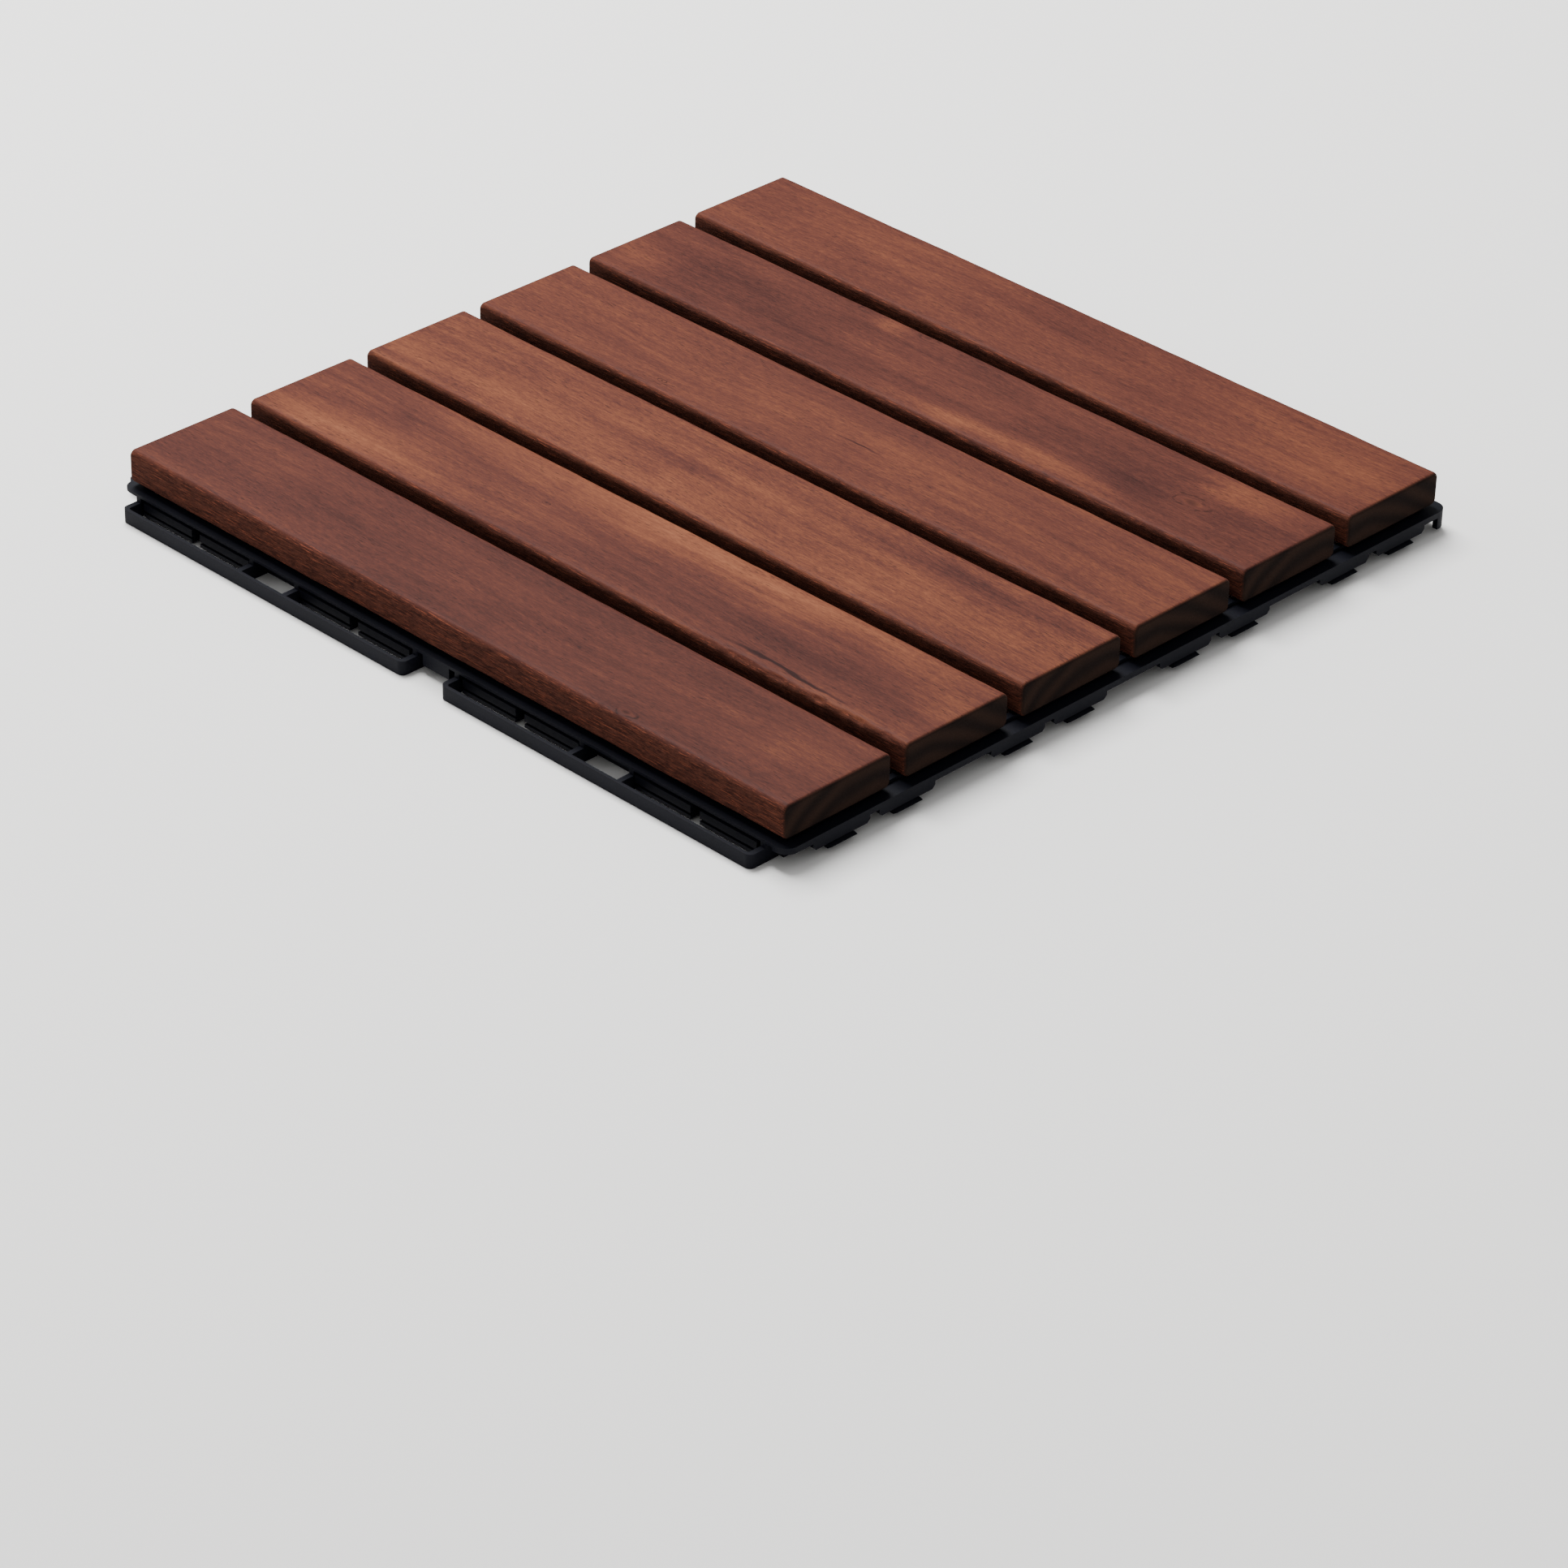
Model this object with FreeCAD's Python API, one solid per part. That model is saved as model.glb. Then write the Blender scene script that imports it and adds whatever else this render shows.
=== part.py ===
import FreeCAD, Part
import os

# Interlocking deck tile: six hardwood slats on a moulded plastic grid, held by screws from beneath.
# Lengths are millimetres. +Z is up, the slats run along X, and the origin lies on the ground under
# the middle of the tile. The +X and +Y sides carry the hanging snap tabs, the -X and -Y sides the
# socket loops that a neighbouring tile's tabs drop into.

# Slats
slat_count = 6
slat_length = 300.0
slat_width = 45.0
slat_thickness = 12.0
slat_gap = 6.0              # between slats, and between the slats of joined tiles
slat_edge_radius = 3.0      # long edges, planed round
slat_end_bevel = 1.2        # broken edges of the sawn ends

# Grid under the slats
base_height = 9.0           # ground to the underside of the slats
ground_clearance = 1.0      # the ribs stop short of the ground, so water runs off
wall_setback = 3.0          # side walls stand this far inside the slat edges
wall_thickness = 2.4
rib_thickness = 2.0
ribs_per_pair = 3           # rib lines to each pair of tabs, along the slats
ribs_per_slat = 2           # rib lines to each slat, across the slats
rib_end_margin = 6.0        # no rib runs closer than this to a side wall

# Flange that stands out all round, just under the slats
flange_drop = 1.2           # from the underside of the slats to the top of the flange
flange_thickness = 1.0
flange_corner_radius = 4.5
tab_side_reach = 3.0        # flange edge outside the slats on the +X and +Y sides
socket_side_reach = 2.1     # flange edge outside the slats on the -X and -Y sides
strip_height = 2.1          # the flange turns down at its edge on the tab sides
strip_thickness = 2.0
corner_post_width = 5.4     # hanging corner where the two tab sides meet
corner_post_depth = 6.3     # from the top of the flange

# Snap tabs, in pairs
pairs_per_side = 4
tab_width = 24.0
tab_slot = 4.0              # between the two tabs of a pair
tab_depth = 4.6             # from the top of the flange
tab_thickness = 2.0
tab_corner = 1.2            # bevelled lower corners
bead_width = 11.0           # snap bead under the middle of each tab
bead_depth = 2.0            # how far the bead's tongue hangs below the tab
bead_slit = 0.3             # shadow gap between the tab and the bead
bead_recess = 0.8           # the tongue stands back from the tab's face
bead_reach = 1.2            # the bead's crest stands out from the tab's face

# Socket loops
rail_reach = 8.4            # outer face of the rail, outside the slats
rail_thickness = 1.2
rail_clearance = 0.2        # rail to ground
rail_height = 4.9
loop_wall = 2.0             # cross walls and end walls
loop_corner_radius = 2.2
pair_clearance = 0.4        # beside a pair, to the cross wall next to it
end_clearance = 1.6         # beside a pair, to the end wall of a loop
pad_top_drop = 3.4          # from the underside of the slats to the top of a catch pad
pad_height = 2.6
groove_height = 0.9         # the bead snaps into this groove under the pad
groove_depth = 0.9
ledge_height = 1.2
pad_wall = 1.5              # the pads are cored out from below
middle_block_width = 12.0   # body wall between the two loops of a side
middle_block_depth = 6.1    # from the underside of the slats

# Screws, bosses and feet
ribs_to_screws = 4          # rib lines from the tile's middle to the screws, both ways
screw_grip = 4.5            # boss floor between the screw head and the slat
screw_bite = 8.5            # length in the wood
screw_shank = 3.4
screw_head = 7.6
screw_head_height = 2.1
screw_point = 2.4           # length of the tapered point
recess_span = 4.2           # cross recess in the head
recess_width = 0.9
recess_depth = 1.3
shank_clearance = 0.4
head_clearance = 0.6        # all round the head, in its counterbore
pilot_spare = 0.8           # the pilot hole runs past the screw's point
boss_wall = 1.6
centre_foot_diameter = 18.0
centre_foot_height = 2.0

# Worked out from the sizes above
slat_pitch = slat_width + slat_gap
tile_width = slat_count * slat_pitch - slat_gap
pitch_x = slat_length + slat_gap
pitch_y = tile_width + slat_gap
top_z = base_height + slat_thickness
half_x = slat_length / 2
half_y = tile_width / 2
wall_x = half_x - wall_setback
wall_y = half_y - wall_setback
flange_top = base_height - flange_drop
flange_bottom = flange_top - flange_thickness
pair_width = 2 * tab_width + tab_slot
seat_z = base_height - screw_grip
counterbore = screw_head + 2 * head_clearance
boss_diameter = counterbore + 2 * boss_wall
overlap = 0.5               # how far fused features run into what carries them


def box(x0, x1, y0, y1, z0, z1):
    """Box between two corners."""
    return Part.makeBox(x1 - x0, y1 - y0, z1 - z0, FreeCAD.Vector(x0, y0, z0))


def plate(x0, x1, y0, y1, z0, z1, radius):
    """Box with its four upright corners rounded."""
    block = box(x0, x1, y0, y1, z0, z1)
    upright = [e for e in block.Edges if abs(e.tangentAt(e.FirstParameter).z) > 0.9]
    return block.makeFillet(radius, upright)


def prism(points, direction):
    """Straight extrusion of a closed outline of straight edges."""
    outline = [FreeCAD.Vector(*p) for p in points]
    wire = Part.makePolygon(outline + [outline[0]])
    return Part.Face(wire).extrude(FreeCAD.Vector(*direction))


def moved(shape, x, y, z=0.0):
    """Copy of a shape, shifted."""
    copy = shape.copy()
    copy.translate(FreeCAD.Vector(x, y, z))
    return copy


def turned(shape, angle):
    """Copy of a shape, turned about the vertical axis of the tile."""
    copy = shape.copy()
    copy.rotate(FreeCAD.Vector(0, 0, 0), FreeCAD.Vector(0, 0, 1), angle)
    return copy


def rib_lines(pitch, half):
    """Centre lines of the ribs that fit between two side walls."""
    reach = half - wall_thickness - rib_end_margin
    count = int(reach / pitch)
    return [k * pitch for k in range(-count, count + 1)]


def pair_centres(tile_pitch):
    """Middles of the tab pairs along a side. They keep their spacing from tile to tile."""
    step = tile_pitch / pairs_per_side
    return [(k - (pairs_per_side - 1) / 2) * step for k in range(pairs_per_side)]


def slat_middles():
    """Centre lines of the slats."""
    return [(k - (slat_count - 1) / 2) * slat_pitch for k in range(slat_count)]


rib_pitch_x = pitch_x / (pairs_per_side * ribs_per_pair)
rib_pitch_y = slat_pitch / ribs_per_slat
screw_xs = [-ribs_to_screws * rib_pitch_x, ribs_to_screws * rib_pitch_x]


def slat(y):
    """Planed slat with rounded long edges, bevelled ends and blind pilot holes from below."""
    body = box(-half_x, half_x, y - slat_width / 2, y + slat_width / 2, base_height, top_z)
    long_edges = [e for e in body.Edges if abs(e.tangentAt(e.FirstParameter).x) > 0.9]
    body = body.makeFillet(slat_edge_radius, long_edges)
    end_edges = [e for e in body.Edges if abs(abs(e.CenterOfMass.x) - half_x) < 0.001]
    body = body.makeChamfer(slat_end_bevel, end_edges)
    bottom = FreeCAD.Vector(0, y, base_height)
    for x in screw_xs:
        place = bottom + FreeCAD.Vector(x, 0, 0)
        body = body.cut(Part.makeCylinder(screw_shank / 2, screw_bite + pilot_spare, place))
    return body


def screw():
    """Wood screw standing on the seat of its head, point up, with a cross recess below."""
    straight = screw_grip + screw_bite - screw_point
    shank = Part.makeCylinder(screw_shank / 2, straight)
    point = Part.makeCone(screw_shank / 2, 0, screw_point, FreeCAD.Vector(0, 0, straight))
    head = Part.makeCylinder(screw_head / 2, screw_head_height, FreeCAD.Vector(0, 0, -screw_head_height))
    body = head.fuse([shank, point]).removeSplitter()
    span, width = recess_span / 2, recess_width / 2
    floor = recess_depth - screw_head_height
    cross = box(-span, span, -width, width, -screw_head_height, floor)
    cross = cross.fuse(box(-width, width, -span, span, -screw_head_height, floor))
    return body.cut(cross)


def rib_grid():
    """Side walls and crossing ribs, open from top to bottom between them."""
    block = box(-wall_x, wall_x, -wall_y, wall_y, ground_clearance, base_height)
    half_rib = rib_thickness / 2
    xs = rib_lines(rib_pitch_x, wall_x)
    ys = rib_lines(rib_pitch_y, wall_y)
    x_ends = [-wall_x + wall_thickness - half_rib] + xs + [wall_x - wall_thickness + half_rib]
    y_ends = [-wall_y + wall_thickness - half_rib] + ys + [wall_y - wall_thickness + half_rib]
    pockets = []
    for x0, x1 in zip(x_ends[:-1], x_ends[1:]):
        for y0, y1 in zip(y_ends[:-1], y_ends[1:]):
            pockets.append(box(x0 + half_rib, x1 - half_rib, y0 + half_rib, y1 - half_rib,
                               0, base_height + overlap))
    return block.cut(Part.makeCompound(pockets))


def bosses():
    """Round screw bosses, one at each screw, that reach the ground and are the tile's feet."""
    return [Part.makeCylinder(boss_diameter / 2, base_height, FreeCAD.Vector(x, y, 0))
            for y in slat_middles() for x in screw_xs]


def boss_holes():
    """Counterbores for the screw heads and clearance holes for the shanks."""
    holes = []
    for y in slat_middles():
        for x in screw_xs:
            place = FreeCAD.Vector(x, y, 0)
            holes.append(Part.makeCylinder(counterbore / 2, seat_z, place))
            holes.append(Part.makeCylinder((screw_shank + shank_clearance) / 2, base_height, place))
    return Part.makeCompound(holes)


def flange_outline(z0, z1, inset):
    """Rounded plate with the outline of the flange, drawn in by an inset."""
    x0 = -half_x - socket_side_reach + inset
    x1 = half_x + tab_side_reach - inset
    y0 = -half_y - socket_side_reach + inset
    y1 = half_y + tab_side_reach - inset
    return plate(x0, x1, y0, y1, z0, z1, flange_corner_radius - inset)


def flange():
    """Thin flange all round, turned down into a strip along the tab sides and at their corner."""
    inner_x, inner_y = wall_x - overlap, wall_y - overlap
    rim = flange_outline(flange_bottom, flange_top, 0)
    rim = rim.cut(box(-inner_x, inner_x, -inner_y, inner_y, flange_bottom, flange_top))
    strip_bottom = flange_top - strip_height
    post_bottom = flange_top - corner_post_depth
    skirt = flange_outline(post_bottom, flange_top, 0)
    skirt = skirt.cut(flange_outline(post_bottom, flange_top, strip_thickness))
    far = slat_length + tile_width
    tab_x = half_x + tab_side_reach
    tab_y = half_y + tab_side_reach
    x_side = skirt.common(box(wall_x, far, -far, far, strip_bottom, flange_top))
    y_side = skirt.common(box(-wall_x, far, wall_y, far, strip_bottom, flange_top))
    post = skirt.common(box(tab_x - corner_post_width, far, tab_y - corner_post_width, far,
                            post_bottom, flange_top))
    return [rim, x_side, y_side, post]


def tab():
    """Snap tab that hangs from the flange. Its outer face is the plane x = 0, its middle y = 0."""
    side = tab_width / 2
    low = flange_top - tab_depth
    leaf = prism([(0, -side, flange_top), (0, side, flange_top), (0, side, low + tab_corner),
                  (0, side - tab_corner, low), (0, tab_corner - side, low),
                  (0, -side, low + tab_corner)], (-tab_thickness, 0, 0))
    back = -tab_thickness
    foot = low - bead_depth
    crest = low - bead_slit - (bead_depth - bead_slit) / 3
    bead = prism([(back, -bead_width / 2, low + overlap), (-bead_recess, -bead_width / 2, low + overlap),
                  (-bead_recess, -bead_width / 2, low - bead_slit), (bead_reach, -bead_width / 2, crest),
                  (-bead_recess / 2, -bead_width / 2, foot), (back, -bead_width / 2, foot)],
                 (0, bead_width, 0))
    return leaf.fuse(bead)


def side_of_tabs(centres):
    """All tabs of one side, in the frame of a single tab."""
    step = (tab_width + tab_slot) / 2
    one = tab()
    return Part.makeCompound([moved(one, 0, c + s * step) for c in centres for s in (-1, 1)])


def catch_pad(middle):
    """Pad on the body wall that a tab faces, with the groove and ledge that its bead snaps into.

    The slat edges are the plane x = 0, and the loops stand out along +X.
    """
    y0, y1 = middle - tab_width / 2, middle + tab_width / 2
    back = -wall_setback - overlap
    face = socket_side_reach
    top = base_height - pad_top_drop
    groove_top = top - pad_height
    groove_bottom = groove_top - groove_height
    foot = groove_bottom - ledge_height
    pad = prism([(back, y0, top), (face, y0, top), (face, y0, groove_top),
                 (face - groove_depth, y0, groove_top), (face - groove_depth, y0, groove_bottom),
                 (face, y0, groove_bottom), (face, y0, foot), (back, y0, foot)], (0, y1 - y0, 0))
    core = box(-wall_setback, face - groove_depth - pad_wall, y0 + pad_wall, y1 - pad_wall,
               foot, top - pad_wall)
    return pad.cut(core)


def web(y0, y1):
    """Upright web from the body wall to the edge of the flange, beside a cross wall."""
    return box(-wall_setback - overlap, socket_side_reach, y0, y1,
               rail_clearance, flange_bottom + flange_thickness / 2)


def loop(centres):
    """One socket loop round two pairs: the rail, its rounded ends, cross walls, webs and pads."""
    low, high = rail_clearance, rail_clearance + rail_height
    reach = pair_width / 2 + end_clearance
    y0, y1 = min(centres) - reach - loop_wall, max(centres) + reach + loop_wall
    back = -wall_setback - overlap
    shell = plate(back - 2 * loop_corner_radius, rail_reach, y0, y1, low, high, loop_corner_radius)
    shell = shell.common(box(back, rail_reach, y0, y1, low, high))
    inside = plate(back - 2 * loop_corner_radius, rail_reach - rail_thickness, y0 + loop_wall,
                   y1 - loop_wall, low, high, loop_corner_radius - rail_thickness)
    pieces = [shell.cut(inside), web(y0, y0 + loop_wall), web(y1 - loop_wall, y1)]
    for left, right in zip(centres[:-1], centres[1:]):
        near = left + pair_width / 2 + pair_clearance
        far = right - pair_width / 2 - pair_clearance - loop_wall
        for wall in (near, far):
            pieces.append(box(back, rail_reach - rail_thickness / 2, wall, wall + loop_wall, low, high))
            pieces.append(web(wall, wall + loop_wall))
    step = (tab_width + tab_slot) / 2
    pieces += [catch_pad(c + s * step) for c in centres for s in (-1, 1)]
    return pieces


def middle_block(middle):
    """Hollow block on the body wall in the gap between the two loops of a side."""
    back = -wall_setback - overlap
    y0, y1 = middle - middle_block_width / 2, middle + middle_block_width / 2
    foot = base_height - middle_block_depth
    block = box(back, socket_side_reach, y0, y1, foot, flange_bottom + flange_thickness / 2)
    core = box(-wall_setback, socket_side_reach - pad_wall, y0 + pad_wall, y1 - pad_wall,
               foot, flange_bottom - pad_wall)
    return block.cut(core)


def side_of_sockets(centres):
    """Two loops and the block between them, in the frame of catch_pad."""
    half = len(centres) // 2
    return Part.makeCompound(loop(centres[:half]) + loop(centres[half:]) + [middle_block(0)])


def base_grid():
    """The whole moulding, as one solid."""
    along_y = pair_centres(pitch_y)
    along_x = pair_centres(pitch_x)
    features = flange() + bosses()
    features.append(Part.makeCylinder(centre_foot_diameter / 2, centre_foot_height))
    features += moved(side_of_tabs(along_y), half_x + tab_side_reach, 0).Solids
    features += moved(turned(side_of_tabs(along_x), 90), 0, half_y + tab_side_reach).Solids
    features += moved(turned(side_of_sockets(along_y), 180), -half_x, 0).Solids
    features += moved(turned(side_of_sockets(along_x), -90), 0, -half_y).Solids
    body = rib_grid().fuse(features)
    body = body.cut(boss_holes())
    return body.removeSplitter()


def slat_screws(y):
    """The screws of one slat."""
    one = screw()
    return Part.makeCompound([moved(one, x, y, seat_z) for x in screw_xs])


def save(name, shape):
    """Write one node and say what it holds."""
    shape.exportStep("parts/" + name + ".step")
    print(name, "solids", len(shape.Solids), "faces", len(shape.Faces), "valid", shape.isValid(),
          "volume", round(shape.Volume, 1))


os.makedirs("parts", exist_ok=True)
save("base_grid", base_grid())
for number, middle in enumerate(slat_middles(), start=1):
    save("slat_%d" % number, slat(middle))
    save("slat_%d_screws" % number, slat_screws(middle))
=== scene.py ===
# %% [markdown]
# # An interlocking deck tile
# The object is a 300 mm square of decking: six oiled hardwood slats, screwed from below to a black
# moulded grid that clips to its neighbours. The solid model already has every size and place, so
# it is loaded first and stays fixed. Blender adds what the solid model can't: wood that was planed
# and sanded by a machine and never comes out perfectly even, its grain, and the light.

# %% Load the solid model as a fixed frame
import math

import bpy
import numpy as np
from mathutils import Matrix, Vector


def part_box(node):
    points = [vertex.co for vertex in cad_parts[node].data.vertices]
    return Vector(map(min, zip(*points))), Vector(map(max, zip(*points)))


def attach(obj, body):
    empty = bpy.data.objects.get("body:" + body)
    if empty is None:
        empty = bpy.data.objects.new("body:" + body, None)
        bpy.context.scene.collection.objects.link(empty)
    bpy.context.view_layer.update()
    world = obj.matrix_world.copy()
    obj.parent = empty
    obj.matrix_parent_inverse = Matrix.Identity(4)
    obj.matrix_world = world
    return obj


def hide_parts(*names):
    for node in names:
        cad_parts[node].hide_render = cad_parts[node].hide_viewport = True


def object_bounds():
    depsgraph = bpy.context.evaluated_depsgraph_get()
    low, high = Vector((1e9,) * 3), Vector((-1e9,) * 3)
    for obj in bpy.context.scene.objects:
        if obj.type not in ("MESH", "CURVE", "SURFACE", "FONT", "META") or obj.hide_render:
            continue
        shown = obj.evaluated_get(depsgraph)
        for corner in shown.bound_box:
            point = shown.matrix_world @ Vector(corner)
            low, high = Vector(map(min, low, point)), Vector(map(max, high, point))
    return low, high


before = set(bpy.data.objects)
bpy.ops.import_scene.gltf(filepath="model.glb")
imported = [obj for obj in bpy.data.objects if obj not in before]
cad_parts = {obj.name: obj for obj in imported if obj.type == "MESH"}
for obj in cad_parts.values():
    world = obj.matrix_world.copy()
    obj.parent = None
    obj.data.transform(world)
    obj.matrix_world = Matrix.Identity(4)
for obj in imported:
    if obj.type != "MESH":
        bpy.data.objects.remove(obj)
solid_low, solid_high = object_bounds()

MM = 0.001
print("nodes:", len(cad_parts), "box in mm:", [round(v / MM, 1) for v in (*solid_low, *solid_high)])

# %% [markdown]
# ## Helpers for every material
# Colours are picked as sRGB hex values, as a paint chart gives them, but shaders count in linear
# light, so one function turns the first into the second. Materials are networks of nodes. Adding a
# node always takes the same steps: make it, set its properties, then fill or link its inputs. One
# function does all of that, so each line of a material reads as one step of its recipe. Most steps
# are arithmetic or a mix of two colours, and these get short names of their own.


# %% Colour and node helpers
def pigment(code):
    """Linear RGBA of an sRGB hex colour: a straight part near black, then the power 2.4."""
    share = np.array([int(code[k:k + 2], 16) for k in (1, 3, 5)]) / 255
    linear = np.where(share <= 0.04045, share / 12.92, ((share + 0.055) / 1.055) ** 2.4)
    return (*linear.tolist(), 1.0)


def add(tree, kind, inputs=None, **settings):
    """Adds a node. Inputs, by name or number, are values or the outputs of other nodes."""
    node = tree.nodes.new("ShaderNode" + kind)
    for name, value in settings.items():
        setattr(node, name, value)
    for name, value in (inputs or {}).items():
        if isinstance(value, bpy.types.NodeSocket):
            tree.links.new(value, node.inputs[name])
        else:
            node.inputs[name].default_value = value
    return node.outputs


print("mid grey in linear light:", round(pigment("#808080")[0], 3))


# %% Arithmetic, mixing and ramps
def calc(tree, operation, *values):
    """One step of arithmetic on numbers."""
    return add(tree, "Math", dict(enumerate(values)), operation=operation)[0]


def calc_vector(tree, operation, *values):
    """One step of arithmetic on vectors, part by part."""
    return add(tree, "VectorMath", dict(enumerate(values)), operation=operation)[0]


def length(tree, vector):
    """Length of a vector."""
    return add(tree, "VectorMath", {0: vector}, operation="LENGTH")["Value"]


def mix(tree, share, colour, other):
    """The colour where the share is 0, the other where it is 1."""
    return add(tree, "Mix", {0: share, 6: colour, 7: other}, data_type="RGBA")[2]


def ramp(tree, value, low, high, to_low=0.0, to_high=1.0):
    """Straight ramp from one range to another, held at its ends."""
    return add(tree, "MapRange", {"Value": value, "From Min": low, "From Max": high,
                                  "To Min": to_low, "To Max": to_high})[0]


print("helpers:", [step.__name__ for step in (calc, calc_vector, length, mix, ramp)])


# %% A material's start and end
def blank(name):
    """A new material with an empty node tree, and the tree."""
    material = bpy.data.materials.new(name)
    material.use_nodes = True
    material.node_tree.nodes.clear()
    return material, material.node_tree


def millimetres(tree, middle=(0.0, 0.0, 0.0)):
    """The place on the object in millimetres, counted from the middle."""
    spot = add(tree, "TexCoord")["Object"]
    return add(tree, "Mapping", {"Vector": spot, "Location": tuple(-v for v in middle),
                                 "Scale": (1 / MM, 1 / MM, 1 / MM)})[0]


def close(tree, shader):
    """Ends a node tree with the material's output."""
    add(tree, "OutputMaterial", {"Surface": shader})


print("one metre is", round(1 / MM), "mm")

# %% [markdown]
# ## The slats' shape
# Each slat went through a planer, which left two flat faces, two straight sides and four rounded
# long edges, and was then cut to length and had its ends sanded. Wood doesn't keep a perfect
# radius: the cutter tears a little grain out here and there, and the edge wanders by a tenth of a
# millimetre. A box with a bevel would look like plastic. So the slat is a profile carried along
# its length, with a little wander added to the edges as one formula for all points at once.

# %% Slat sizes, taken from the solid model
SLATS = [f"slat_{n}" for n in range(1, 7)]
EDGE_RADIUS = 2.0 * MM
END_RADIUS = 1.3 * MM
slat_boxes = {name: tuple(np.array(corner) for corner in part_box(name)) for name in SLATS}
for name, (low, high) in slat_boxes.items():
    print(name, "size in mm:", np.round((high - low) / MM, 2), "middle y:", round((low + high)[1] / 2 / MM, 1))


# %% Wander that is the same each run
def wander(along, seed, longest, steps=6, shorter=1.7, weaker=1.35):
    """Smooth irregular curve between about -1 and 1: a sum of sines over its greatest height.

    Each sine is `shorter` times as short and `weaker` times as weak as the one before.
    """
    phases = np.random.default_rng(seed).uniform(0, 2 * math.pi, steps)
    waves = [np.sin(2 * math.pi * along * shorter ** k / longest + phases[k]) / weaker ** k
             for k in range(steps)]
    return sum(waves) / sum(1 / weaker ** k for k in range(steps))


print("wander over 300 mm:", np.round(wander(np.linspace(0, 0.3, 5), 1, 0.12), 2))

# %% The slat's cross-section
CORNER_STEPS, FLAT_STEPS, SIDE_STEPS = 8, 26, 4


def slat_profile(width, height):
    """Closed rounded rectangle, anticlockwise seen from +X, with each point's outward direction.

    A corner is a quarter circle: its centre + EDGE_RADIUS * (cos, sin) of the angle. The flats
    between the corners are points shared out evenly.
    """
    half_w, half_h = width / 2 - EDGE_RADIUS, height / 2 - EDGE_RADIUS
    centres = np.array([(half_w, half_h), (-half_w, half_h), (-half_w, -half_h), (half_w, -half_h)])
    points, facings = [], []
    for quarter, centre in enumerate(centres):
        angle = (quarter + np.linspace(0, 1, CORNER_STEPS + 1)) * math.pi / 2
        ring = np.stack([np.cos(angle), np.sin(angle)], 1)
        arc = centre + EDGE_RADIUS * ring
        next_arc = centres[(quarter + 1) % 4] + EDGE_RADIUS * ring[-1]
        steps = FLAT_STEPS if quarter % 2 == 0 else SIDE_STEPS
        share = np.linspace(0, 1, steps + 1)[1:-1, None]
        points += [arc, arc[-1] * (1 - share) + next_arc * share]
        facings += [ring, np.repeat(ring[-1:], steps - 1, 0)]
    return np.concatenate(points), np.concatenate(facings)


print("points round a slat:", len(slat_profile(45 * MM, 12 * MM)[0]))

# %% Places along the slat
END_STEPS = 6
STATION_STEP = 1.25 * MM


def stations(half_length):
    """Places along the slat: a quarter circle of close ones at each end, even ones between."""
    turn = np.linspace(0, math.pi / 2, END_STEPS + 1)
    flat = half_length - END_RADIUS
    rounding = flat + END_RADIUS * np.sin(turn)
    middle = np.linspace(-flat, flat, int(2 * flat / STATION_STEP))[1:-1]
    return np.concatenate([-rounding[::-1], middle, rounding])


print("stations along a slat:", len(stations(150 * MM)))

# %% Carry the cross-section along the slat
EDGE_WANDER, WANDER_LENGTH = 0.16 * MM, 90 * MM
DENT_LENGTH, DENT_FADE, DENTS_MORE_OFTEN = 16 * MM, 8 * MM, 0.35
NEAR_UPPER_EDGE = -1


def slat_surface(number, low, high, torn=None):
    """Points of a slat on a grid of stations by profile points.

    Point = middle + profile - facing * inset. The inset is END_RADIUS * (1 - cos) at the ends,
    plus the edges' wander, which counts only where the profile turns a corner, plus the torn
    stretch, if there is one: a run of small dents along one upper edge.
    """
    middle, size = (low + high) / 2, high - low
    along = stations(size[0] / 2)
    points, facings = slat_profile(size[1], size[2])
    past = np.clip(np.abs(along) - (size[0] / 2 - END_RADIUS), 0, END_RADIUS)
    inset = (END_RADIUS - np.sqrt(END_RADIUS ** 2 - past ** 2))[:, None] * np.ones(len(points))
    corner = 2 * np.abs(facings[:, 0] * facings[:, 1])
    edge_of = np.sign(points[:, 0]) * 2 + np.sign(points[:, 1])
    for edge in np.unique(edge_of):
        worn = EDGE_WANDER * (1 + wander(along, number * 10 + int(edge), WANDER_LENGTH))
        inset += worn[:, None] * corner * (edge_of == edge)
    if torn:
        start, end, depth = torn
        fade = np.clip((along - start) / DENT_FADE, 0, 1) * np.clip((end - along) / DENT_FADE, 0, 1)
        dents = np.clip(wander(along, number, DENT_LENGTH) + DENTS_MORE_OFTEN, 0, 1) * fade * depth
        inset += dents[:, None] * corner * (edge_of == NEAR_UPPER_EDGE)
    y = middle[1] + points[None, :, 0] - facings[None, :, 0] * inset
    z = middle[2] + points[None, :, 1] - facings[None, :, 1] * inset
    x = middle[0] + np.repeat(along[:, None], len(points), 1)
    return np.stack([x, y, z], 2)


print("grid of slat_1's points:", slat_surface(1, *slat_boxes["slat_1"]).shape[:2])


# %% Turn the grid of points into a mesh
def mesh_of(name, grid):
    """Mesh of a grid that closes on itself across, with a flat face at each end."""
    rows, columns = grid.shape[:2]
    corner = np.arange(rows * columns).reshape(rows, columns)
    beside = np.roll(corner, -1, 1)
    quads = np.stack([corner[:-1], beside[:-1], beside[1:], corner[1:]], 2).reshape(-1, 4)
    ends = [corner[0][::-1].tolist(), corner[-1].tolist()]
    mesh = bpy.data.meshes.new(name)
    mesh.from_pydata(grid.reshape(-1, 3).tolist(), [], quads.tolist() + ends)
    smooth = np.ones(len(mesh.polygons), bool)
    smooth[-len(ends):] = False
    mesh.polygons.foreach_set("use_smooth", smooth)
    mesh.update()
    return mesh


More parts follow.
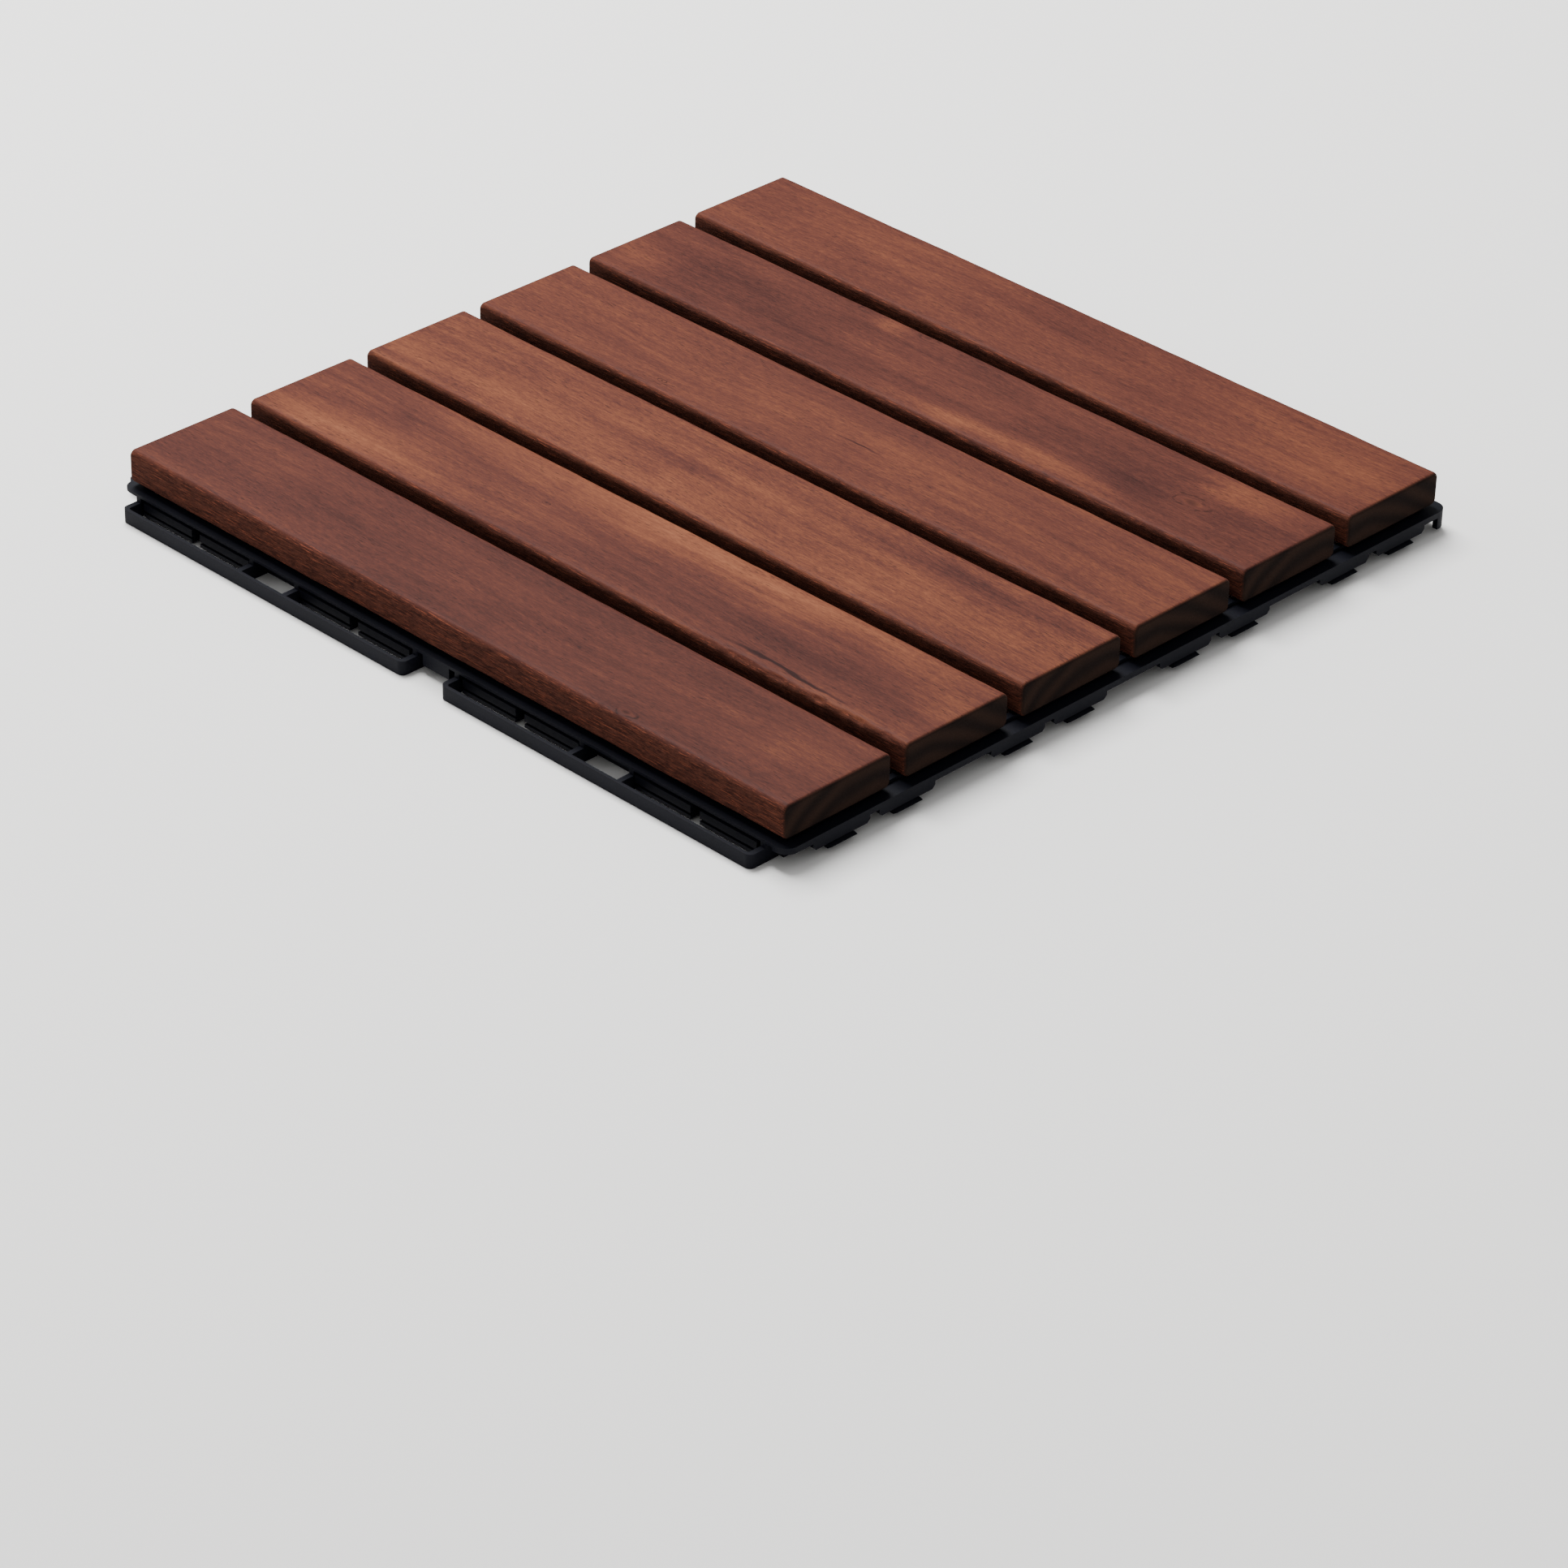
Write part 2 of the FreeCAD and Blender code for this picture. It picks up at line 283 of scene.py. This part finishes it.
TORN = {2: (62 * MM, 147 * MM, 0.75 * MM)}  # the slat, and where the dents start, end and how deep
planks = {}
for number, name in enumerate(SLATS, start=1):
    surface = slat_surface(number, *slat_boxes[name], TORN.get(number))
    plank = bpy.data.objects.new(f"planed_slat_{number}", mesh_of(name, surface))
    bpy.context.scene.collection.objects.link(plank)
    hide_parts(name)
    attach(plank, "root")
    planks[number] = plank
    print(plank.name, "faces:", len(plank.data.polygons))

# %% [markdown]
# ## The wood
# The slats are acacia, planed, sanded and oiled, and stained red brown. The trunk's growth rings
# run through the whole slat, so one pattern in three dimensions is better than a flat picture: it
# makes long stripes on the top and arcs on the sawn ends without any seam. Wood grain is noise
# that is stretched along the trunk. Several layers of it are added up: broad zones where the stain
# took more or less, growth bands, streaks of two widths, and pores, which are vessels cut open by
# the planer. Oil soaks into cut vessels, so the ends come out almost black and the sides redder;
# the ends' colour is made darker still as painted shade.

# %% One layer of grain
ZONE, BAND, STREAK, FINE = (14, 45), (4, 150), (1.0, 12), (0.5, 3)


def layer(tree, grain, wide, long, **more):
    """Noise about `wide` millimetres across and `long` millimetres along the trunk, from 0 to 1."""
    place = calc_vector(tree, "MULTIPLY", grain, (1 / long, 1 / wide, 1 / wide))
    return add(tree, "TexNoise", {"Vector": place, "Scale": 1.0, **more})["Fac"]


def weigh(tree, base, *parts):
    """base + the sum of weight * (part - 0.5)."""
    total = base
    for part, weight in parts:
        total = calc(tree, "MULTIPLY_ADD", calc(tree, "SUBTRACT", part, 0.5), weight, total)
    return total


print("zones, bands, streaks and fine streaks, wide and long in mm:", ZONE, BAND, STREAK, FINE)

# %% [markdown]
# Each slat was cut from another part of the trunk, and no trunk is quite straight. So the place
# where the grain is read is moved a long way for each slat, and then bent a little and slowly.

# %% The slat's place in the trunk
NEXT_CUT = (431.0, 97.0, 53.0)
BEND_REACH, BEND = (0.007, 0.02, 0.02), (0.0, 16.0, 10.0)


def in_trunk(tree, place, number):
    """place + number * NEXT_CUT + BEND * (slow noise - 0.5)."""
    trunk = calc_vector(tree, "ADD", place, tuple(step * number for step in NEXT_CUT))
    slowly = calc_vector(tree, "MULTIPLY", trunk, BEND_REACH)
    bend = add(tree, "TexNoise", {"Vector": slowly, "Scale": 1.0, "Detail": 1.0})["Color"]
    bend = calc_vector(tree, "SUBTRACT", bend, (0.5, 0.5, 0.5))
    return calc_vector(tree, "MULTIPLY_ADD", bend, BEND, trunk)


print("the grain bends by up to", BEND[1] / 2, "mm across the slat")

# %% [markdown]
# A knot is the foot of a branch. The grain flows round it, and its core is dark and hard. To bend
# the grain, the place where the pattern is read is pushed away from the knot, most at its middle
# and not at all beyond its reach.

# %% Knots
KNOT_HEIGHT, KNOT_SQUEEZE = 6.0, (0.5, 1.0, 0.35)


def flow_round(tree, grain, place, centre, reach):
    """Pushes the pattern's place away from a knot. Gives the new place and how near the knot is."""
    away = calc_vector(tree, "SUBTRACT", place, (*centre, KNOT_HEIGHT))
    distance = length(tree, calc_vector(tree, "MULTIPLY", away, KNOT_SQUEEZE))
    near = add(tree, "MapRange", {"Value": distance, "From Min": 0.0, "From Max": reach, "To Min": 1.0,
                                  "To Max": 0.0}, interpolation_type="SMOOTHSTEP")[0]
    push = add(tree, "VectorMath", {0: away, "Scale": near}, operation="SCALE")[0]
    return calc_vector(tree, "SUBTRACT", grain, push), near


print("a knot reaches", 1 / KNOT_SQUEEZE[0], "times as far along the slat as across it")

# %% [markdown]
# The broad purple and orange clouds of these six slats sit in known places, so noise alone can't
# draw them. Each is a soft ellipse that shifts the tone, and the place where it is read is first
# shaken by noise, so that its border breaks up along the grain.

# %% Clouds of tone
SHAKE = (30.0, 9.0, 0.0)


def shaken_by(tree, noise, place):
    """place + SHAKE * (noise - 0.5)."""
    moved = calc_vector(tree, "MULTIPLY_ADD", noise, SHAKE, place)
    return calc_vector(tree, "SUBTRACT", moved, tuple(shake / 2 for shake in SHAKE))


def cloud(tree, place, tone, x, y, long, wide, shift):
    """Adds shift * smoothstep(1 - r) to the tone, where r is the distance in units of the ellipse."""
    away = calc_vector(tree, "SUBTRACT", place, (x, y, 0.0))
    distance = length(tree, calc_vector(tree, "MULTIPLY", away, (1 / long, 1 / wide, 0.0)))
    near = add(tree, "MapRange", {"Value": distance, "To Min": 1.0, "To Max": 0.0},
               interpolation_type="SMOOTHSTEP")[0]
    return calc(tree, "MULTIPLY_ADD", near, shift, tone)


print("a cloud's border is shaken by up to", SHAKE[0] / 2, "mm along and", SHAKE[1] / 2, "mm across")

# %% [markdown]
# No two slats have the same colour. The stain came out purple brown where the wood was dense and
# orange where it was open. One scale of tones serves all six, from 0, deep purple, to 1, pale
# orange, so that they look like one batch.

# %% The scale of tones
TONES = ((0.05, "#26110f"), (0.3, "#3f201b"), (0.5, "#512b22"), (0.7, "#663a28"), (0.95, "#7d4c34"))


def stain(tree, tone):
    """The colour of a tone: straight steps from stop to stop of the scale."""
    scale = add(tree, "ValToRGB", {"Fac": tone})
    stops = tree.nodes[-1].color_ramp.elements
    stops[0].position, stops[1].position = TONES[0][0], TONES[-1][0]
    for position, _ in TONES[1:-1]:
        stops.new(position)
    for stop, (_, code) in zip(sorted(stops, key=lambda e: e.position), TONES):
        stop.color = pigment(code)
    return scale["Color"]


print("stops of the scale:", len(TONES))

# %% Pores
PORE = "#1a0b09"
PORES_PER_MM = (0.2, 1.5, 1.5)


def pores(tree, grain):
    """1 in a pore and 0 beside it: dashes round the middles of stretched cells, here and there.

    They are 0.3 mm wide and 2 to 3 mm long, a little coarser than real ones so that they show.
    """
    cells = calc_vector(tree, "MULTIPLY", grain, PORES_PER_MM)
    distance = add(tree, "TexVoronoi", {"Vector": cells, "Scale": 1.0})["Distance"]
    some = layer(tree, grain, 4, 25, Detail=2.0)
    return calc(tree, "MULTIPLY", ramp(tree, distance, 0.1, 0.3, 1.0, 0.0), ramp(tree, some, 0.38, 0.62))


print("pores are", round(1 / PORES_PER_MM[1], 2), "mm apart across and", 1 / PORES_PER_MM[0], "mm along")

# %% [markdown]
# The rounded edges and the sides take more stain, and the cutter left their fibres crushed. Where
# the top turns into the side, some fibres are torn, and the paler colour on them is partly their own
# and partly a painted highlight for the light they catch. All of it follows one measure, the distance
# across the slat, which noise makes uneven.

# %% Sides and edges
SIDE = ("#20100d", "#4a2a21")
# Torn fibres' colour: partly their own paler tone, partly a painted highlight on the edge.
TORN_FIBRE_HIGHLIGHT = "#8a4a35"


def stained_sides(tree, place, colour, half_wide):
    """Colours the sides and paints a highlight on torn fibres at the edge. Gives the colour, how far a place
    is on a side, and the fibres.
    """
    fibres = layer(tree, place, 0.6, 3.5, Detail=4.0, Roughness=0.8)
    across = calc(tree, "ABSOLUTE", add(tree, "SeparateXYZ", {0: place})[1])
    edge = calc(tree, "MULTIPLY_ADD", fibres, 2.4, across)
    side = ramp(tree, edge, half_wide - 0.3, half_wide + 1.0)
    red = mix(tree, ramp(tree, fibres, 0.4, 0.62), pigment(SIDE[0]), pigment(SIDE[1]))
    colour = mix(tree, ramp(tree, side, 0.0, 1.0, 0.0, 0.85), colour, red)
    # Torn fibres on the shoulder get a paler colour, partly their own and partly a painted highlight.
    splinter = layer(tree, place, 0.35, 7, Detail=3.0, Roughness=0.8)
    shoulder = calc(tree, "MULTIPLY", ramp(tree, edge, half_wide - 0.7, half_wide + 0.1),
                    ramp(tree, edge, half_wide + 0.9, half_wide + 1.9, 1.0, 0.0))
    torn = calc(tree, "MULTIPLY", shoulder, ramp(tree, splinter, 0.55, 0.68, 0.0, 0.75))
    return mix(tree, torn, colour, pigment(TORN_FIBRE_HIGHLIGHT)), side, fibres


print("sides from", SIDE[0], "to", SIDE[1], "with torn fibres", TORN_FIBRE_HIGHLIGHT)

# %% Sawn ends
# End-grain colours: dark oiled end grain, made darker still as painted shade.
SAWN_AND_SHADE = ("#18110f", "#261a15")
PITH_ASIDE, PITH_BELOW = 14.0, 38.0


def sawn_ends_and_shade(tree, place, colour, number, half_long):
    """Growth rings show on the ends as arcs round the trunk's middle, which lay below the slat.

    The rings are a wave of the distance from there. Gives the colour and how far a place is on an end.
    """
    pith = calc_vector(tree, "ADD", place, (0.0, PITH_ASIDE * (-1) ** number, PITH_BELOW))
    rings = add(tree, "TexWave", {"Vector": pith, "Scale": 0.045, "Distortion": 9.0, "Detail": 3.0,
                                  "Detail Scale": 0.25, "Detail Roughness": 0.6}, wave_type="RINGS",
                rings_direction="X")["Fac"]
    # The rings' colours are dark end grain plus painted shade, so the ends stay dark under the floor's bounce
    # light.
    sawn_and_shade = mix(tree, rings, pigment(SAWN_AND_SHADE[0]), pigment(SAWN_AND_SHADE[1]))
    along = calc(tree, "ABSOLUTE", add(tree, "SeparateXYZ", {0: place})[0])
    end = ramp(tree, along, half_long - 0.9, half_long - 0.2)
    return mix(tree, end, colour, sawn_and_shade), end


print("the trunk's middle lay", PITH_BELOW, "mm below the middle of the slat")


# %% Marks of the knots
def knot_marks(tree, place, colour, knots_near):
    """Each knot is a dark core in a ring of bark, which is thin, uneven and broken.

    The ring lies where nearness + noise is close to one value, and a second noise leaves gaps.
    """
    wobble = layer(tree, place, 3.5, 4.5, Detail=2.0)
    gaps = layer(tree, place, 2.2, 3.0, Detail=1.0)
    for near, darkness in knots_near:
        core = ramp(tree, near, 0.8, 0.99, 0.0, 0.7 * darkness)
        uneven = calc(tree, "MULTIPLY_ADD", wobble, 0.9, near)
        off_ring = calc(tree, "ABSOLUTE", calc(tree, "SUBTRACT", uneven, 0.85))
        ring = ramp(tree, off_ring, 0.03, 0.16, 0.8 * darkness, 0.0)
        ring = calc(tree, "MULTIPLY", ring, ramp(tree, gaps, 0.42, 0.58))
        colour = mix(tree, calc(tree, "MAXIMUM", core, ring), colour, pigment(PORE))
    return colour


print("the ring of bark is as dark as a pore:", PORE)


# %% The oiled wood of one slat
def oiled_acacia(number, middle_tone, zones=0.18, bands=0.17, streaks=0.3, clouds=(), knots=()):
    """Acacia, planed, sanded and oiled: satin, with darker pores and nearly black ends, which are dark end
    grain plus painted shade.

    Zones, bands and streaks say how much each layer of the grain shifts the slat's middle tone. In
    millimetres from the slat's middle, clouds are (x, y, long, wide, shift) and knots (x, y,
    reach, darkness).
    """
    material, tree = blank(f"oiled_acacia_{number}")
    low, high = slat_boxes[f"slat_{number}"]
    half_long, half_wide = ((high - low) / 2 / MM)[:2]
    place = millimetres(tree, (low + high) / 2 / MM)
    grain = in_trunk(tree, place, number)
    knots_near = []
    for x, y, reach, darkness in knots:
        grain, near = flow_round(tree, grain, place, (x, y), reach)
        knots_near.append((near, darkness))

    zone = layer(tree, grain, *ZONE, Detail=3.0, Roughness=0.6)
    band = layer(tree, grain, *BAND, Detail=3.0, Roughness=0.6)
    streak = layer(tree, grain, *STREAK, Detail=3.0, Roughness=0.7)
    fine = layer(tree, grain, *FINE, Detail=3.0, Roughness=0.85)
    tone = weigh(tree, middle_tone, (zone, zones * 2), (band, bands * 2), (streak, streaks),
                 (fine, streaks * 2.6))
    shaken = shaken_by(tree, zone, place)
    for x, y, long, wide, shift in clouds:
        tone = cloud(tree, shaken, tone, x, y, long, wide, shift)

    pore = pores(tree, grain)
    colour = mix(tree, ramp(tree, pore, 0.0, 1.0, 0.0, 0.7), stain(tree, tone), pigment(PORE))
    colour, side, fibres = stained_sides(tree, place, colour, half_wide)
    colour, end = sawn_ends_and_shade(tree, place, colour, number, half_long)
    colour = knot_marks(tree, place, colour, knots_near)

    # The fine grain stands up a little, the fibres of the sides more, and the pores are hollow.
    rough = calc(tree, "MULTIPLY_ADD", side, 2.2, 0.3)
    height = weigh(tree, 0.5, (fine, 0.7), (fibres, rough))
    height = calc(tree, "SUBTRACT", height, ramp(tree, pore, 0.0, 1.0, 0.0, 0.5))
    relief = add(tree, "Bump", {"Height": height, "Strength": 0.55, "Distance": 0.15 * MM})[0]
    dull = calc(tree, "MAXIMUM", side, end)
    shine = calc(tree, "MULTIPLY_ADD", dull, 0.35, ramp(tree, fine, 0.3, 0.7, 0.5, 0.62))
    close(tree, add(tree, "BsdfPrincipled", {"Base Color": colour, "Roughness": shine, "Normal": relief,
                                             "IOR": 1.47, "Specular IOR Level": 0.06})[0])
    return material


print("wood for", len(planks), "slats")

# %% [markdown]
# Each slat gets its own middle tone, its own strength of grain, and its own clouds and knots. The
# two very thin dark clouds are cracks that follow the grain.

# %% Six slats, six looks
LOOKS = {
    1: dict(middle_tone=0.38,
            clouds=((-120, 8, 60, 14, 0.1), (130, 2, 45, 20, 0.16), (-30, -10, 60, 14, -0.08)),
            knots=((79, -19, 3.5, 0.9),)),
    2: dict(middle_tone=0.5, bands=0.24,
            clouds=((20, 18, 170, 13, 0.3), (-105, -14, 60, 18, 0.22), (-115, 3, 40, 8, -0.16),
                    (60, -8, 110, 18, -0.15), (145, 0, 25, 16, 0.14), (98, -17, 42, 1.2, -0.7)),
            knots=((-32, 1, 1.6, 0.8),)),
    3: dict(middle_tone=0.56, bands=0.26, streaks=0.36,
            clouds=((-90, -12, 110, 16, 0.16), (95, 12, 95, 7, -0.22), (60, -12, 110, 12, 0.12),
                    (0, 0, 45, 16, 0.14))),
    4: dict(middle_tone=0.52, zones=0.14,
            clouds=((20, 0, 120, 16, 0.04), (0, 18, 90, 8, -0.1), (10, 0, 14, 0.7, -0.5)),
            knots=((-67, -16, 1.5, 1.0),)),
    5: dict(middle_tone=0.41, bands=0.22,
            clouds=((-85, 2, 90, 20, -0.08), (45, -15, 70, 8, 0.36), (122, 14, 32, 14, 0.26),
                    (-42, 18, 16, 8, 0.24), (88, -4, 30, 13, -0.14), (-140, -8, 25, 16, 0.2)),
            knots=((-65, 20, 5, 0.45), (-28, 20, 4, 0.6), (109, -1, 6.5, 0.7), (132, -14, 4, 0.4))),
    6: dict(middle_tone=0.5, zones=0.14,
            clouds=((-95, 0, 85, 24, 0.03), (0, 14, 50, 16, -0.1), (60, -8, 40, 12, -0.08),
                    (125, 0, 45, 22, 0.12))),
}
for number, look in LOOKS.items():
    planks[number].data.materials.append(oiled_acacia(number, **look))
    print(planks[number].name, "->", planks[number].data.materials[0].name)

# %% [markdown]
# ## The moulded grid
# The grid is polypropylene with black pigment, injected into a steel mould. The mould's faces were
# spark eroded, so the plastic has a fine even grain that catches a little light and hides flow
# marks. It is a matte black with a hint of blue, not pure black: pure black would lose every rib.


# %% Black polypropylene
def moulded_polypropylene():
    """Black PP from a spark-eroded mould: matte, slightly blue, with grain 0.5 mm across."""
    material, tree = blank("moulded_polypropylene")
    place = millimetres(tree)
    grain = layer(tree, place, 0.5, 0.5, Detail=2.0)
    flow = layer(tree, place, 18, 18, Detail=3.0)
    tone = weigh(tree, 0.5, (grain, 0.7), (flow, 0.5))
    colour = mix(tree, tone, pigment("#05060a"), pigment("#10111b"))
    relief = add(tree, "Bump", {"Height": grain, "Strength": 0.5, "Distance": 0.06 * MM})[0]
    close(tree, add(tree, "BsdfPrincipled", {"Base Color": colour, "Roughness": 0.55, "IOR": 1.49,
                                             "Specular IOR Level": 0.08, "Normal": relief})[0])
    return material


plastic = moulded_polypropylene()
print("plastic:", plastic.name)

# %% [markdown]
# ## The screws
# The screws are steel with a thin coat of zinc. Zinc dulls within weeks into fine patches of pale
# grey, so the metal is neither mirror bright nor evenly rough.


# %% Zinc-plated steel
def zinc_plated_steel():
    """Steel, electroplated with zinc and dulled: a metal whose roughness changes every few mm."""
    material, tree = blank("zinc_plated_steel")
    patches = layer(tree, millimetres(tree), 1.5, 1.5, Detail=3.0)
    colour = mix(tree, patches, pigment("#8f9290"), pigment("#c4c6c0"))
    close(tree, add(tree, "BsdfPrincipled", {"Base Color": colour, "Metallic": 1.0,
                                             "Roughness": ramp(tree, patches, 0.35, 0.65, 0.3, 0.5)})[0])
    return material


zinc = zinc_plated_steel()
print("metal:", zinc.name)

# %% Dress the solid model's own pieces
for name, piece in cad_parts.items():
    finish = zinc if name.endswith("_screws") else plastic
    piece.data.materials.clear()
    piece.data.materials.append(finish)
for name in SLATS:
    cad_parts[name].data.materials[0] = planks[int(name[-1])].data.materials[0]
print("pieces dressed:", len(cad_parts))

# %% [markdown]
# ## Floor, light and camera
# A product picture like this is lit by large soft boxes. The main one hangs high behind the tile
# and to its left, so the tops are bright and the sawn ends stay dark, which sets the slats apart.
# A weaker one on the left lights the long sides. The room itself is dim, and the pale floor sends
# a little light back up.


# %% Floor
def pale_floor(reach=4.0):
    """A flat matte floor at the height that the tile stands on."""
    mesh = bpy.data.meshes.new("floor")
    mesh.from_pydata([(-reach, -reach, 0), (reach, -reach, 0), (reach, reach, 0), (-reach, reach, 0)], [],
                     [(0, 1, 2, 3)])
    floor = bpy.data.objects.new("floor", mesh)
    bpy.context.scene.collection.objects.link(floor)
    material, tree = blank("matte_paper")
    close(tree, add(tree, "BsdfPrincipled", {"Base Color": pigment("#f2f1ef"), "Roughness": 0.9})[0])
    mesh.materials.append(material)
    return floor


print("floor:", pale_floor().name)


# %% Light
def softbox(name, place, size, power):
    """A square area light that looks at the tile."""
    light = bpy.data.lights.new(name, "AREA")
    light.shape, light.size, light.energy = "SQUARE", size, power
    lamp = bpy.data.objects.new(name, light)
    lamp.location = place
    lamp.rotation_mode = "QUATERNION"
    lamp.rotation_quaternion = Vector(place).to_track_quat("Z", "Y")
    bpy.context.scene.collection.objects.link(lamp)
    print(name, "has", power, "watts")


softbox("main_softbox", (-0.9, 0.25, 1.8), 1.2, 100.0)
softbox("left_softbox", (-1.6, -1.3, 0.9), 0.9, 10.0)
world = bpy.context.scene.world or bpy.data.worlds.new("studio")
bpy.context.scene.world = world
world.use_nodes = True
room = next(n for n in world.node_tree.nodes if n.type == "BACKGROUND")
room.inputs["Color"].default_value = pigment("#ffffff")
room.inputs["Strength"].default_value = 0.5

# %% [markdown]
# The camera stands where the picture was taken from: 44 degrees round from the front and 32
# degrees up, nearly 1.9 m away with a long lens, so the tile's edges stay almost parallel. It was
# held about one degree out of level. The picture's middle lies a little in front of the tile, so
# the camera is moved and not turned.

# %% Camera
AZIMUTH, ELEVATION, ROLL = math.radians(44.30), math.radians(31.74), math.radians(1.28)
DISTANCE = 1.858
LENS, SENSOR = 131.8, 36.0
RIGHT_OF_AXIS, ABOVE_AXIS = -0.002137, 0.10469
back = Vector((math.sin(AZIMUTH) * math.cos(ELEVATION), -math.cos(AZIMUTH) * math.cos(ELEVATION),
               math.sin(ELEVATION)))
right = Vector((math.cos(AZIMUTH), math.sin(AZIMUTH), 0))
up = back.cross(right)
top_middle = Vector((0, 0, solid_high.z))
stand = top_middle - RIGHT_OF_AXIS * right - ABOVE_AXIS * up + DISTANCE * back
turn = Matrix((right, up, back)).transposed().to_4x4() @ Matrix.Rotation(ROLL, 4, "Z")
camera = bpy.data.objects.new("camera", bpy.data.cameras.new("camera"))
camera.data.lens, camera.data.sensor_width = LENS, SENSOR
camera.matrix_world = Matrix.Translation(stand) @ turn
bpy.context.scene.collection.objects.link(camera)
bpy.context.scene.camera = camera
print("camera at", [round(v, 3) for v in camera.location])
